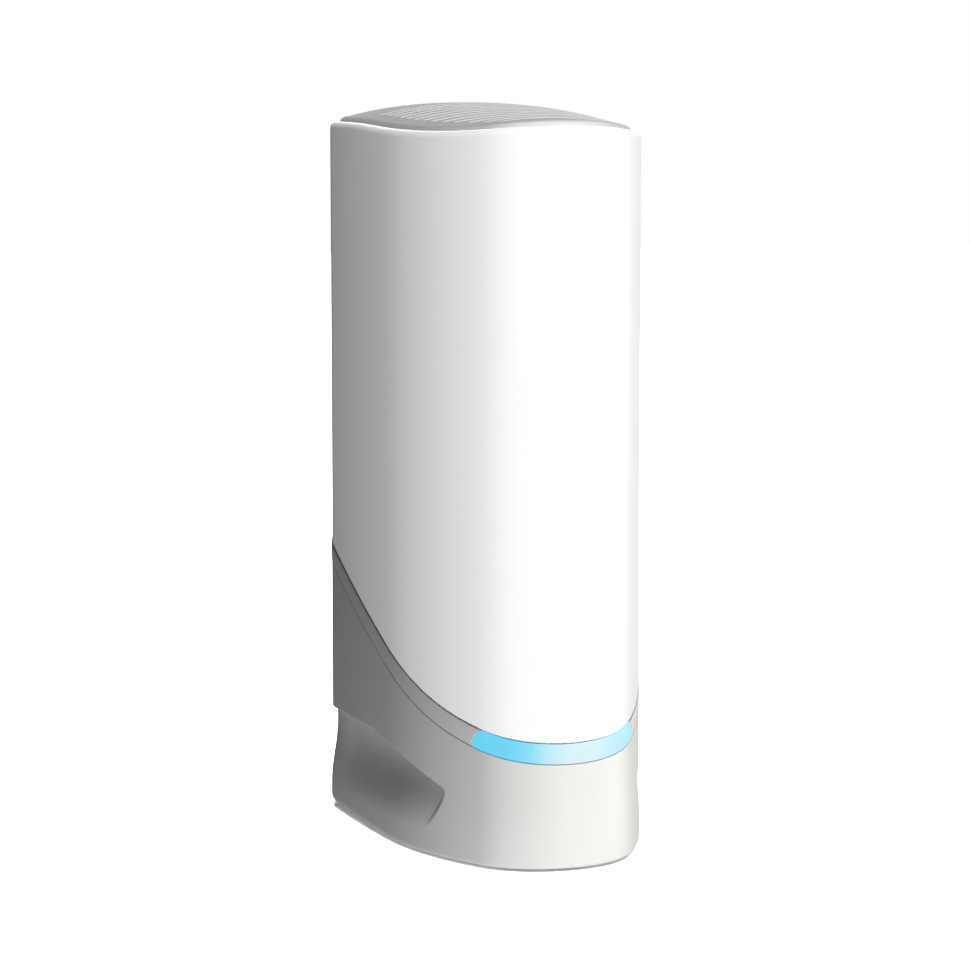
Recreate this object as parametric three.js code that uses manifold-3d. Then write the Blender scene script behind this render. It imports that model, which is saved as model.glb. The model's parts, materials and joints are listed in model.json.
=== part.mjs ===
// An upright cable modem: a white sleeve on a flared grey base, a crowned vent on top, a lit strip at
// the front and a bay of connectors at the back. Millimetres, +Z up, front towards -Y, origin at the
// middle of the footprint on the surface that the modem stands on.
import * as THREE from "three";
import { mergeVertices } from "three/addons/utils/BufferGeometryUtils.js";
import Module from "manifold-3d";

const wasm = await Module();
wasm.setup();
const rad = THREE.MathUtils.degToRad;
const { clamp, lerp, smoothstep } = THREE.MathUtils;

// ---------------------------------------------------------------- driving dimensions
// Half of the footprint, from the front centre round to the back: each arc ends where its outward
// normal has turned this far from the front, and the back arc closes the loop.
const FOOTPRINT_ARCS = [
  { until: 21, radius: 30, steps: 3 },
  { until: 57, radius: 24.5, steps: 4 },
  { until: 83.5, radius: 96, steps: 4 },
  { until: 88, radius: 600, steps: 4 },
  { until: 171, radius: 14, steps: 6 },
];
const BACK_ARC_STEPS = 2;

const WALL = 2; // moulded wall thickness
const GAP = 0.3; // seam between moulded parts
const FOOT_EDGE_Z = 0.5; // the base's lower edge, above the rubber feet
const BASE_WAIST = 0.4; // how far the base draws in above its foot
const SLEEVE_INSET = 0.55; // the white sleeve sits this far inside the footprint
const BAND_INSET = 0.25; // the trim band stands a little proud of the sleeve

const RIM_Z = 204.9; // the sleeve's top edge at the front
const RIM_DIP = 1.6; // how far that edge dips along the sides
const RIM_DIP_LENGTH = 85; // distance from the front over which it dips
const RIM_BACK_RISE = 1; // how much higher it is at the back than at the front
const SHOULDER_RADIUS = 2; // rounding of the sleeve's top edge
const SHOULDER_LAND = 0.45; // flat between the rounding and the vent's seat
const VENT_SEAT = 1.6; // depth of the seat that the vent drops into
const VENT_EDGE_RISE = 1.6; // rounded border of the vent
const CREST_FRONT_Z = 206.4; // the vent's crest line, front and back
const CREST_Z = 211.8;
const VENT_SLOTS = 13;
const VENT_SLOTS_Y = [-42.8, 21.4];
const VENT_SLOT_WIDTH = 2.5;
const VENT_SLOT_MARGIN = 5.9; // from the vent's edge to the slots' ends

// The sleeve's lower edge from the front to the back: a gentle slope, a soft bend and a steeper slope.
const SWOOSH = { frontZ: 35.6, slope: 0.25, extraSlope: 0.25, bendAt: 25, bendLength: 15 };
const BAND_WIDTH = 5.8;
const LIGHT_END_X = 23.3; // the lit strip's ends, at their middle
const LIGHT_END_Z = 37;
const LIGHT_END_LEAN = 0.4; // how far they draw in for each millimetre up

const COVE_TOP_Z = 30.5; // side recesses in the base
const COVE_FLOOR_Z = 8;
const COVE_TIP = 23.4; // how far behind the front they start
const COVE_TIP_X = 26.8; // the recess wall runs from here
const COVE_BACK = 97; // to here, near the rear corner
const COVE_BACK_X = 38.6;
const CORNER_INSET = 1.5; // the same wall round the rear corners

const BAY_HALF_WIDTH = 16; // connector bay in the back
const BAY_FLOOR_Y = 48.5;
const BAY_TOP_Z = 129;
const BACK_COVER_HALF_WIDTH = 25.7;
const BACK_COVER_Z = [31.3, 194];

const BOARD_X = -6.7; // component face of the upright main board
const BOARD_THICKNESS = 1.6;
const BOARD_Y = [-44, 43];
const BOARD_Z = [38, 191];
const PORT_Z = { power: 45, coax: 64.5, ethernet1: 85, ethernet2: 104, reset: 120.5 };

// ---------------------------------------------------------------- footprint and its levels
function footprintPoints() {
  const half = [];
  let x = 0;
  let y = 0;
  let turned = 0;
  let reach = 0;
  for (const { until, radius } of FOOTPRINT_ARCS) {
    reach += radius * (Math.sin(rad(until)) - Math.sin(rad(turned)));
    turned = until;
  }
  const backRadius = reach / Math.sin(rad(turned));
  const arcs = [...FOOTPRINT_ARCS, { until: 180, radius: backRadius, steps: BACK_ARC_STEPS }];
  turned = 0;
  for (const { until, radius, steps } of arcs) {
    for (let i = 0; i < steps; i++) {
      const from = rad(lerp(turned, until, i / steps));
      const to = rad(lerp(turned, until, (i + 1) / steps));
      half.push({ x, y, nx: Math.sin(from), ny: -Math.cos(from) });
      const chord = 2 * radius * Math.sin((to - from) / 2);
      x += chord * Math.cos((from + to) / 2);
      y += chord * Math.sin((from + to) / 2);
    }
    turned = until;
  }
  const depth = y;
  const right = half.map((p) => ({ ...p, y: p.y - depth / 2 }));
  const back = { x: 0, y: depth / 2, nx: 0, ny: 1 };
  const left = right.slice(1).reverse().map((p) => ({ ...p, x: -p.x, nx: -p.nx }));
  return { points: [...right, back, ...left], depth };
}
const { points: FOOTPRINT, depth: DEPTH } = footprintPoints();
const FRONT_Y = -DEPTH / 2;

// One ring of the footprint, moved outwards by offset, at a height that may vary from point to point.
function ring(offset, height) {
  return FOOTPRINT.map((p) => {
    const x = p.x + p.nx * offset;
    const y = p.y + p.ny * offset;
    return new THREE.Vector3(x, y, typeof height === "function" ? height(p.x, p.y) : height);
  });
}

const behindFront = (y) => y - FRONT_Y;
function swooshZ(x, y) {
  const { frontZ, slope, extraSlope, bendAt, bendLength } = SWOOSH;
  const t = behindFront(y);
  const bent = t + Math.hypot(t - bendAt, bendLength) - Math.hypot(bendAt, bendLength);
  return frontZ + slope * t + (extraSlope / 2) * bent;
}
function rimZ(x, y) {
  const u = clamp(behindFront(y) / RIM_DIP_LENGTH, 0, 1);
  const dip = 6.75 * u * (1 - u) ** 2; // 6.75 makes its peak 1
  return RIM_Z - RIM_DIP * dip + RIM_BACK_RISE * smoothstep(behindFront(y), 50, 105);
}
const raised = (surface, by) => (x, y) => surface(x, y) + by;
const bandZ = raised(swooshZ, -BAND_WIDTH);

// ---------------------------------------------------------------- solids
function solidFrom(geometry) {
  const bare = geometry.clone();
  for (const name of Object.keys(bare.attributes)) {
    if (name !== "position") bare.deleteAttribute(name);
  }
  const merged = mergeVertices(bare, 1e-4);
  const vertProperties = new Float32Array(merged.attributes.position.array);
  const triVerts = new Uint32Array(merged.index.array);
  return new wasm.Manifold(new wasm.Mesh({ numProp: 3, vertProperties, triVerts }));
}

function geometryFrom(solid) {
  const mesh = solid.getMesh();
  const positions = new Float32Array(mesh.numVert * 3);
  for (let i = 0; i < mesh.numVert; i++) {
    positions.set(mesh.vertProperties.subarray(i * mesh.numProp, i * mesh.numProp + 3), i * 3);
  }
  const geometry = new THREE.BufferGeometry();
  geometry.setAttribute("position", new THREE.BufferAttribute(positions, 3));
  geometry.setIndex(new THREE.BufferAttribute(mesh.triVerts, 1));
  geometry.computeVertexNormals();
  return geometry;
}

// Skin between successive rings; a sleeve joins its last ring to its first, and a loft is capped.
function skin(rings, isSleeve) {
  const n = rings[0].length;
  const positions = rings.flat().flatMap((v) => [v.x, v.y, v.z]);
  const index = [];
  const levels = isSleeve ? rings.length : rings.length - 1;
  for (let k = 0; k < levels; k++) {
    const low = k * n;
    const high = ((k + 1) % rings.length) * n;
    for (let i = 0; i < n; i++) {
      const j = (i + 1) % n;
      index.push(low + i, low + j, high + j, low + i, high + j, high + i);
    }
  }
  if (!isSleeve) {
    const capOf = (r) => THREE.ShapeUtils.triangulateShape(r.map((v) => new THREE.Vector2(v.x, v.y)), []);
    const top = (rings.length - 1) * n;
    for (const [a, b, c] of capOf(rings[0])) index.push(a, c, b);
    for (const [a, b, c] of capOf(rings.at(-1))) index.push(top + a, top + b, top + c);
  }
  const geometry = new THREE.BufferGeometry();
  geometry.setAttribute("position", new THREE.Float32BufferAttribute(positions, 3));
  geometry.setIndex(index);
  return solidFrom(geometry);
}
const loft = (...rings) => skin(rings, false);
const sleeve = (...rings) => skin(rings, true);

// A box by its two corners.
function box([x0, x1], [y0, y1], [z0, z1]) {
  const geometry = new THREE.BoxGeometry(x1 - x0, y1 - y0, z1 - z0);
  geometry.translate((x0 + x1) / 2, (y0 + y1) / 2, (z0 + z1) / 2);
  return solidFrom(geometry);
}

// A cylinder with flat sides along "x", "y" or "z", between two places on that axis.
function rod(axis, [a, b], radius, at, sides = 20) {
  const geometry = new THREE.CylinderGeometry(radius, radius, b - a, sides);
  if (axis === "x") geometry.rotateZ(Math.PI / 2);
  if (axis === "z") geometry.rotateX(Math.PI / 2);
  const centre = { x: 0, y: 0, z: 0, ...at, [axis]: (a + b) / 2 };
  geometry.translate(centre.x, centre.y, centre.z);
  return solidFrom(geometry);
}

// A side-view outline (y, z) pushed through the part from x0 to x1.
function sideExtrusion(shape, [x0, x1]) {
  const settings = { depth: x1 - x0, bevelEnabled: false, curveSegments: 6 };
  const geometry = new THREE.ExtrudeGeometry(shape, settings);
  geometry.applyMatrix4(new THREE.Matrix4().makeBasis(
    new THREE.Vector3(0, 1, 0), new THREE.Vector3(0, 0, 1), new THREE.Vector3(1, 0, 0)));
  geometry.translate(x0, 0, 0);
  return solidFrom(geometry);
}

// A turned piece: profile of (radius, distance along +Y), placed on an axis through at.
function turned(profile, at, sides = 18) {
  const geometry = new THREE.LatheGeometry(profile.map(([r, l]) => new THREE.Vector2(r, l)), sides);
  geometry.translate(at.x, 0, at.z);
  const solid = solidFrom(geometry);
  return solid.volume() < 0 ? solidFrom(flipped(geometry)) : solid;
}

function flipped(geometry) {
  const index = Array.from(geometry.index.array);
  for (let i = 0; i < index.length; i += 3) [index[i + 1], index[i + 2]] = [index[i + 2], index[i + 1]];
  return geometry.clone().setIndex(index);
}

const join = (...solids) => solids.reduce((a, b) => a.add(b));
const cut = (solid, ...tools) => tools.reduce((a, b) => a.subtract(b), solid);

// ---------------------------------------------------------------- materials
function finish(color, roughness, metalness = 0) {
  return new THREE.MeshStandardMaterial({ color, roughness, metalness });
}
const MATERIALS = {
  whitePlastic: finish(0xf2f2f0, 0.42),
  greyPlastic: finish(0xc9c9c5, 0.5),
  ventPlastic: finish(0xb9bbba, 0.55),
  litLens: finish(0x6fd3ff, 0.3),
  clearAcrylic: finish(0xdfeef2, 0.15),
  framePlastic: finish(0x6d7073, 0.6),
  rubber: finish(0x3a3a3a, 0.9),
  circuitBoard: finish(0x1f5a38, 0.55),
  chip: finish(0x1c1c1e, 0.5),
  aluminium: finish(0xb8bcc0, 0.35, 0.9),
  nickel: finish(0xc8c6bd, 0.25, 1),
  steel: finish(0xa9abad, 0.35, 1),
  gold: finish(0xd3a94a, 0.3, 1),
  tealPlastic: finish(0x1f8fb5, 0.5),
  whitePart: finish(0xe9e9e6, 0.7),
};

const modem = new THREE.Group();
const casing = new THREE.Group();
const electronics = new THREE.Group();
const connectors = new THREE.Group();
modem.add(casing, electronics, connectors);

function add(group, name, material, solid) {
  const mesh = new THREE.Mesh(geometryFrom(solid), MATERIALS[material]);
  mesh.name = name;
  group.add(mesh);
}

// ---------------------------------------------------------------- cutters shared by the casings
const FAR = 80; // beyond every casing
// Side view of the recesses: a level edge from the back, falling in a curve to a rounded tip.
function coveShape(grow) {
  const tip = FRONT_Y + COVE_TIP - grow;
  const top = COVE_TOP_Z + grow;
  const floor = COVE_FLOOR_Z - grow;
  return new THREE.Shape()
    .moveTo(FAR, floor)
    .lineTo(FAR, top)
    .lineTo(tip + 48, top)
    .bezierCurveTo(tip + 30, top - 0.5, tip + 20, top - 5, tip + 3, top - 9)
    .quadraticCurveTo(tip, top - 10.7, tip, top - 12)
    .quadraticCurveTo(tip + 0.6, top - 15, tip + 6, floor);
}

// The wall at the bottom of the recesses: flush with the foot, drawing in as it rises.
function coveCore(inset, levels) {
  const rings = levels.map((z) => {
    const drawn = smoothstep(z, COVE_FLOOR_Z, 28);
    return FOOTPRINT.map((p) => {
      const t = (behindFront(p.y) - COVE_TIP) / (COVE_BACK - COVE_TIP);
      const chordX = lerp(COVE_TIP_X, COVE_BACK_X, t);
      const corner = smoothstep(behindFront(p.y), COVE_BACK - 12, COVE_BACK + 4);
      const sideX = Math.sign(p.x) * Math.min(Math.abs(p.x), chordX);
      const x = lerp(lerp(p.x, sideX, drawn), p.x - p.nx * CORNER_INSET * drawn, corner) - p.nx * inset;
      const y = p.y - p.ny * (CORNER_INSET * drawn * corner + inset);
      return new THREE.Vector3(x, y, z);
    });
  });
  return loft(...rings);
}

// The connector bay, with a ramp at its foot that leads the cables out.
function bayCutter(grow) {
  const floorY = BAY_FLOOR_Y - grow;
  const shape = new THREE.Shape()
    .moveTo(FAR, COVE_FLOOR_Z - grow)
    .lineTo(FAR, BAY_TOP_Z + grow)
    .lineTo(floorY, BAY_TOP_Z + grow)
    .lineTo(floorY, 22)
    .quadraticCurveTo(floorY + 0.6, COVE_FLOOR_Z + 1 - grow, floorY + 9, COVE_FLOOR_Z - grow);
  return sideExtrusion(shape, [-BAY_HALF_WIDTH - grow, BAY_HALF_WIDTH + grow]);
}
const coveCut = (grow, levels) => cut(sideExtrusion(coveShape(grow), [-FAR, FAR]), coveCore(grow, levels));
const COVE_OUTSIDE_LEVELS = [5, 9, 14, 19, 24, 29, 35];
const COVE_INSIDE_LEVELS = [4, 14, 24, 36];
// Everything above the seam between the base and the trim band, out to the casing walls.
const aboveBand = () => sleeve(
  ring(3, raised(bandZ, -GAP / 2)), ring(3, 120), ring(-6, 120), ring(-6, raised(bandZ, -GAP / 2)));

// ---------------------------------------------------------------- base
const atCorners = (frontX, frontY, rearX, rearY) => ({
  front_left: [-frontX, frontY],
  front_right: [frontX, frontY],
  rear_left: [-rearX, rearY],
  rear_right: [rearX, rearY],
});
const SCREW_PLACES = atCorners(14, -44, 29, 28);
const FOOT_PLACES = atCorners(17, -31, 24, 42);
const PLATE_Z = [1.4, 4.4];
const POST_Z = [4.6, 12]; // posts inside the base that take the screws

function baseHousing() {
  const outer = loft(
    ring(-0.4, FOOT_EDGE_Z), ring(0, FOOT_EDGE_Z + 1), ring(0, COVE_FLOOR_Z),
    ring(-BASE_WAIST * 0.7, 18), ring(-BASE_WAIST, 28), ring(-BASE_WAIST, 100));
  const cavity = cut(
    loft(ring(-WALL - 0.6, -1), ring(-WALL - 0.6, 100)),
    coveCut(WALL, COVE_INSIDE_LEVELS), bayCutter(WALL));
  const backOpening = box([-26, 26], [BAY_FLOOR_Y - 5, FAR], [31, 100]);
  const posts = Object.values(SCREW_PLACES).map(([x, y]) => (y < 0
    ? box([x - 4, x + 4], [y - 9, y + 4], POST_Z)
    : box(x < 0 ? [x - 9, x + 4] : [x - 4, x + 9], [y - 4, y + 4], POST_Z)));
  const skinned = cut(outer, coveCut(0, COVE_OUTSIDE_LEVELS), bayCutter(0), aboveBand());
  const holes = Object.values(SCREW_PLACES).map(([x, y]) => rod("z", [4, 11], 1.75, { x, y }, 12));
  return cut(skinned, cut(cavity, ...posts), backOpening, ...holes);
}

function basePlate() {
  const slots = [];
  for (let i = -2; i <= 2; i++) slots.push(box([-14, 14], [i * 8 - 1.5, i * 8 + 1.5], [0, 6]));
  const drills = Object.values(SCREW_PLACES).flatMap(([x, y]) => [
    rod("z", [0, 3], 3.4, { x, y }, 16), rod("z", [2, 6], 1.75, { x, y }, 12)]);
  return cut(loft(ring(-WALL - 0.9, PLATE_Z[0]), ring(-WALL - 0.9, PLATE_Z[1])), ...slots, ...drills);
}

add(casing, "base_housing", "greyPlastic", baseHousing());
add(casing, "base_plate", "greyPlastic", basePlate());
for (const [place, [x, y]] of Object.entries(FOOT_PLACES)) {
  add(casing, `foot_pad_${place}`, "rubber", rod("z", [0, 1.3], 6, { x, y }, 24));
}
for (const [place, [x, y]] of Object.entries(SCREW_PLACES)) {
  const head = rod("z", [1.6, 2.8], 3, { x, y }, 16);
  add(casing, `base_screw_${place}`, "steel", join(head, rod("z", [2.7, 10.5], 1.4, { x, y }, 12)));
}

// ---------------------------------------------------------------- trim band and light
// A slab across the front, cutting out what lies between the lit strip's leaning ends.
function lightWindow(inset) {
  const [low, high] = [20, 46];
  const halfWidth = (z) => LIGHT_END_X - inset - LIGHT_END_LEAN * (z - LIGHT_END_Z);
  const shape = new THREE.Shape()
    .moveTo(-halfWidth(low), low).lineTo(halfWidth(low), low)
    .lineTo(halfWidth(high), high).lineTo(-halfWidth(high), high);
  const geometry = new THREE.ExtrudeGeometry(shape, { depth: 30, bevelEnabled: false });
  geometry.rotateX(Math.PI / 2);
  geometry.translate(0, FRONT_Y + 26, 0);
  return solidFrom(geometry);
}
const bandRing = (outer, inner, low, high) => sleeve(
  ring(outer, raised(bandZ, low)), ring(outer, raised(swooshZ, high)),
  ring(inner, raised(swooshZ, high)), ring(inner, raised(bandZ, low)));

function trimBand() {
  const whole = bandRing(-BAND_INSET, -WALL - 0.45, GAP / 2, -GAP / 2);
  const lensPocket = bandRing(1, -1.7, -2, 2).intersect(lightWindow(0));
  const lightPath = bandRing(1, -WALL - 2, 1.4, -1.4).intersect(lightWindow(2.5));
  return cut(whole, lensPocket, lightPath, box([-26, 26], [40, FAR], [60, 100]));
}
const strip = (outer, inner, low, high, inset) =>
  bandRing(outer, inner, low, high).intersect(lightWindow(inset));

add(casing, "trim_band", "greyPlastic", trimBand());
add(casing, "light_lens", "litLens", strip(-BAND_INSET, -1.5, 0.3, -0.3, 0.3));
add(electronics, "light_guide", "clearAcrylic", strip(-WALL - 0.8, -WALL - 2.6, 1, -1, 5));
const LED_BOARD_Y = -47.6;
add(electronics, "led_board", "circuitBoard", box([-14, 14], [LED_BOARD_Y, LED_BOARD_Y + 1.2], [29, 38]));
[-12, -4, 4, 12].forEach((x, i) => {
  const lamp = box([x - 1.6, x + 1.6], [LED_BOARD_Y - 1.3, LED_BOARD_Y - 0.1], [32, 35]);
  add(electronics, `led_${i + 1}`, "whitePart", lamp);
});

// ---------------------------------------------------------------- sleeve, vent and back cover
const BACK_WINDOW_HALF_WIDTH = BACK_COVER_HALF_WIDTH + GAP;
function frontShell() {
  const topAngles = [30, 60, 90];
  const outerTop = topAngles.map((a) => ring(
    -SLEEVE_INSET - SHOULDER_RADIUS * (1 - Math.cos(rad(a))),
    raised(rimZ, -SHOULDER_RADIUS * (1 - Math.sin(rad(a))))));
  const landInset = SLEEVE_INSET + SHOULDER_RADIUS + SHOULDER_LAND;
  const tube = sleeve(
    ring(-SLEEVE_INSET, raised(swooshZ, GAP / 2)),
    ring(-SLEEVE_INSET, raised(rimZ, -SHOULDER_RADIUS)),
    ...outerTop,
    ring(-landInset, rimZ),
    ring(-landInset, raised(rimZ, -VENT_SEAT)),
    ring(-landInset - 1.8, raised(rimZ, -VENT_SEAT)),
    ring(-landInset - 1.8, raised(rimZ, -VENT_SEAT - 2)),
    ring(-SLEEVE_INSET - WALL, raised(rimZ, -VENT_SEAT - 4)),
    ring(-SLEEVE_INSET - WALL, raised(swooshZ, GAP / 2)));
  const backWindow = box(
    [-BACK_WINDOW_HALF_WIDTH, BACK_WINDOW_HALF_WIDTH], [30, FAR], [20, BACK_COVER_Z[1] + GAP]);
  return cut(tube, backWindow);
}
add(casing, "front_shell", "whitePlastic", frontShell());

// Height of the vent's crest line, from its front end to its highest place near the back.
function crestZ(y) {
  const t = clamp((behindFront(y) - 12) / 88, 0, 1);
  return lerp(CREST_FRONT_Z, CREST_Z, Math.sin((Math.PI / 2) * t) ** 1.15);
}

function ventTop(edgeInset, drop, borderSteps, crownSteps) {
  const borders = borderSteps.map(([inset, share]) =>
    ring(-edgeInset - inset, raised(rimZ, VENT_EDGE_RISE * share - drop)));
  const border = borders.at(-1);
  const inner = crownSteps.map((t) => border.map((v) => {
    const spineY = clamp(v.y, -30, 38);
    const swell = 1 - (1 - t) ** 2.3;
    return new THREE.Vector3(v.x * (1 - t), lerp(v.y, spineY, t), lerp(v.z, crestZ(spineY) - drop, swell));
  }));
  return [...borders, ...inner];
}

function topVent() {
  const inset = SLEEVE_INSET + SHOULDER_RADIUS + SHOULDER_LAND + GAP;
  const foot = raised(rimZ, 0.1 - VENT_SEAT);
  const top = ventTop(inset, 0, [[0, 0], [0.6, 0.6], [2.6, 1]], [0.25, 0.55, 0.8]);
  const cap = loft(ring(-inset - 2.6, foot), ring(-inset, foot), ...top);
  const hollow = loft(ring(-inset - 2.2, 190), ...ventTop(inset + 2.2, 1.9, [[0.4, 0.4]], [0.4, 0.8]));
  const slots = Array.from({ length: VENT_SLOTS }, (_, i) => {
    const y = lerp(VENT_SLOTS_Y[0], VENT_SLOTS_Y[1], i / (VENT_SLOTS - 1));
    const halfWidth = slotHalfWidth(y, inset + VENT_SLOT_MARGIN);
    return box([-halfWidth, halfWidth], [y - VENT_SLOT_WIDTH / 2, y + VENT_SLOT_WIDTH / 2], [200, 216]);
  });
  return cut(cap, hollow, ...slots);
}

// Half width of the footprint at a distance y, drawn in by inset.
function slotHalfWidth(y, inset) {
  const side = ring(-inset, 0).filter((v) => v.x >= 0);
  for (let i = 0; i + 1 < side.length; i++) {
    const [a, b] = [side[i], side[i + 1]];
    if (a.y <= y && y < b.y) return lerp(a.x, b.x, (y - a.y) / (b.y - a.y));
  }
  return 0;
}
add(casing, "top_vent", "ventPlastic", topVent());

function backCover() {
  const [low, high] = BACK_COVER_Z;
  const shellPart = sleeve(
    ring(-SLEEVE_INSET, low), ring(-SLEEVE_INSET, high),
    ring(-SLEEVE_INSET - WALL, high), ring(-SLEEVE_INSET - WALL, low),
  ).intersect(box([-BACK_COVER_HALF_WIDTH, BACK_COVER_HALF_WIDTH], [40, FAR], [low, high]));
  const bayWalls = box(
    [-BAY_HALF_WIDTH - WALL, BAY_HALF_WIDTH + WALL], [BAY_FLOOR_Y - WALL, 56], [low, BAY_TOP_Z + WALL]);
  const vents = [];
  for (let i = 0; i < 9; i++) vents.push(box([-15, 15], [50, FAR], [147 + i * 4.6, 148.8 + i * 4.6]));
  const ports = [
    box([-7, 7], [40, 52], [PORT_Z.ethernet1 - 8.3, PORT_Z.ethernet1 + 8.3]),
    box([-7, 7], [40, 52], [PORT_Z.ethernet2 - 8.3, PORT_Z.ethernet2 + 8.3]),
    rod("y", [40, 52], 5.1, { z: PORT_Z.coax }, 24),
    rod("y", [40, 52], 4.2, { z: PORT_Z.power }, 24),
    rod("y", [40, 52], 1.6, { x: -2.9, z: PORT_Z.reset }, 16),
  ];
  return cut(join(shellPart, bayWalls), bayCutter(0), ...vents, ...ports);
}
add(casing, "rear_cover", "greyPlastic", backCover());
const LABEL_UNDER_PLATE = 0.05;
add(casing, "rating_label", "whitePart", box([-13, 13], [25, 41], [1.1, PLATE_Z[0] - LABEL_UNDER_PLATE]));

// ---------------------------------------------------------------- main board and its carrier
const BOARD_BACK_X = BOARD_X - BOARD_THICKNESS;
const CARRIER_X = [-13, -11];
const BOARD_SCREW_PLACES = {
  lower_front: [-38, 46], lower_rear: [24, 40], upper_front: [-38, 184], upper_rear: [37, 184],
};
const eachBoardScrew = (make) => Object.values(BOARD_SCREW_PLACES).map(([y, z]) => make(y, z));

const board = cut(
  box([BOARD_BACK_X, BOARD_X], BOARD_Y, BOARD_Z),
  ...eachBoardScrew((y, z) => rod("x", [-12, 0], 1.5, { y, z }, 12)));
add(electronics, "main_board", "circuitBoard", board);

function boardCarrier() {
  const frame = cut(box(CARRIER_X, [-43, 43], [31, 194]), box([-20, 0], [-33, 31], [52, 178]));
  const legs = [-34, 26].map((y) => box(CARRIER_X, [y, y + 8], [4.6, 32]));
  const posts = eachBoardScrew((y, z) => rod("x", [CARRIER_X[1] - 1, BOARD_BACK_X - 0.1], 3, { y, z }, 16));
  const arm = box(CARRIER_X, [LED_BOARD_Y + 1.3, -42], [31, 37]);
  const crossbar = box([CARRIER_X[0], 13], [LED_BOARD_Y + 1.3, LED_BOARD_Y + 2.8], [31, 34]);
  const holes = eachBoardScrew((y, z) => rod("x", [CARRIER_X[0] + 1, 0], 1.4, { y, z }, 12));
  return cut(join(frame, ...legs, ...posts, arm, crossbar), ...holes);
}
add(electronics, "board_carrier", "framePlastic", boardCarrier());
for (const [place, [y, z]] of Object.entries(BOARD_SCREW_PLACES)) {
  const head = rod("x", [BOARD_X + 0.05, BOARD_X + 1.6], 2.6, { y, z }, 16);
  const shank = rod("x", [CARRIER_X[0] + 1.3, BOARD_X + 0.5], 1.1, { y, z }, 12);
  add(electronics, `board_screw_${place}`, "steel", join(head, shank));
}

// A part soldered to the component face, by its place (y, z), its size along y and z, and its height.
const SOLDER = 0.1;
function onBoard(y, z, sizeY, sizeZ, height, lift = SOLDER) {
  const x = BOARD_X + lift;
  return box([x, x + height], [y - sizeY / 2, y + sizeY / 2], [z - sizeZ / 2, z + sizeZ / 2]);
}
const CHIP_AT = { y: -8, z: 134 };
const CHIP_HEIGHT = 2;
const PAD_HEIGHT = 1;
const PAD_LIFT = SOLDER + CHIP_HEIGHT;
add(electronics, "main_chip", "chip", onBoard(CHIP_AT.y, CHIP_AT.z, 23, 23, CHIP_HEIGHT));
add(electronics, "thermal_pad", "whitePart", onBoard(CHIP_AT.y, CHIP_AT.z, 21, 21, PAD_HEIGHT, PAD_LIFT));

// Upright fins on a plate, so that air can rise between them to the vent.
function heatSink(y, z, width, height, finHeight, fins, lift) {
  const plate = onBoard(y, z, width, height, 2.5, lift);
  const pitch = (width - 1.2) / (fins - 1);
  const blades = Array.from({ length: fins }, (_, i) =>
    onBoard(y - width / 2 + 0.6 + i * pitch, z, 1.2, height, 2 + finHeight, lift + 0.5));
  return join(plate, ...blades);
}
const sink = heatSink(CHIP_AT.y, CHIP_AT.z, 46, 44, 20, 10, PAD_LIFT + PAD_HEIGHT);
add(electronics, "main_heat_sink", "aluminium", sink);

// name, material, place along y and z, size along y and z, height
const COMPONENTS = [
  ["memory_chip", "chip", -18, 169, 13, 9, 1.2],
  ["flash_chip", "chip", 12, 169, 18, 12, 1.2],
  ["ethernet_chip", "chip", -14, 88, 12, 12, 1.2],
  ["power_chip", "chip", -8, 47, 6, 6, 1.2],
  ["crystal", "nickel", 20, 150, 3.4, 11, 3.6],
  ["magnetics_1", "chip", 12, 85, 13, 16, 6],
  ["magnetics_2", "chip", 12, 103, 13, 16, 6],
  ["power_inductor", "chip", 8, 47, 12, 12, 7],
  ["tuner_shield", "nickel", 8, 65, 34, 17, 4.5],
];
for (const [name, material, ...place] of COMPONENTS) add(electronics, name, material, onBoard(...place));

// name, place along y and z, radius, height
const CAPACITORS = [
  ["power_capacitor_1", -20, 50, 5, 15],
  ["power_capacitor_2", -31, 58, 4, 11],
];
for (const [name, y, z, radius, height] of CAPACITORS) {
  const foot = BOARD_X + SOLDER;
  add(electronics, name, "aluminium", rod("x", [foot, foot + height], radius, { y, z }));
}

// ---------------------------------------------------------------- connectors, facing the back
const JACK = { depth: 21, halfWidth: 8, height: 13.2, proud: 0.4 };
function ethernetJack(z) {
  const faceY = BAY_FLOOR_Y + JACK.proud;
  const shell = box([-JACK.height / 2, JACK.height / 2], [faceY - JACK.depth, faceY],
    [z - JACK.halfWidth, z + JACK.halfWidth]);
  const plugHole = box([-4.2, 2.6], [faceY - 13, FAR], [z - 5.9, z + 5.9]);
  const latchHole = box([2.5, 4.2], [faceY - 13, FAR], [z - 3.1, z + 3.1]);
  const latchTip = box([4.1, 5.4], [faceY - 13, FAR], [z - 1.7, z + 1.7]);
  return cut(shell, plugHole, latchHole, latchTip);
}
// Eight spring wires on one carrier, leaning into the plug's path.
function ethernetContacts(z) {
  const root = box([-3.9, 2.3], [36.3, 37.3], [z - 5.4, z + 5.4]);
  const wires = Array.from({ length: 8 }, (_, i) => {
    const at = z - 3.57 + i * 1.02;
    return box([-3.5, -3], [37, 45.5], [at - 0.2, at + 0.2]);
  });
  return join(root, ...wires);
}
for (const n of [1, 2]) {
  add(connectors, `ethernet_jack_${n}`, "nickel", ethernetJack(PORT_Z[`ethernet${n}`]));
  add(connectors, `ethernet_contacts_${n}`, "gold", ethernetContacts(PORT_Z[`ethernet${n}`]));
}

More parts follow.
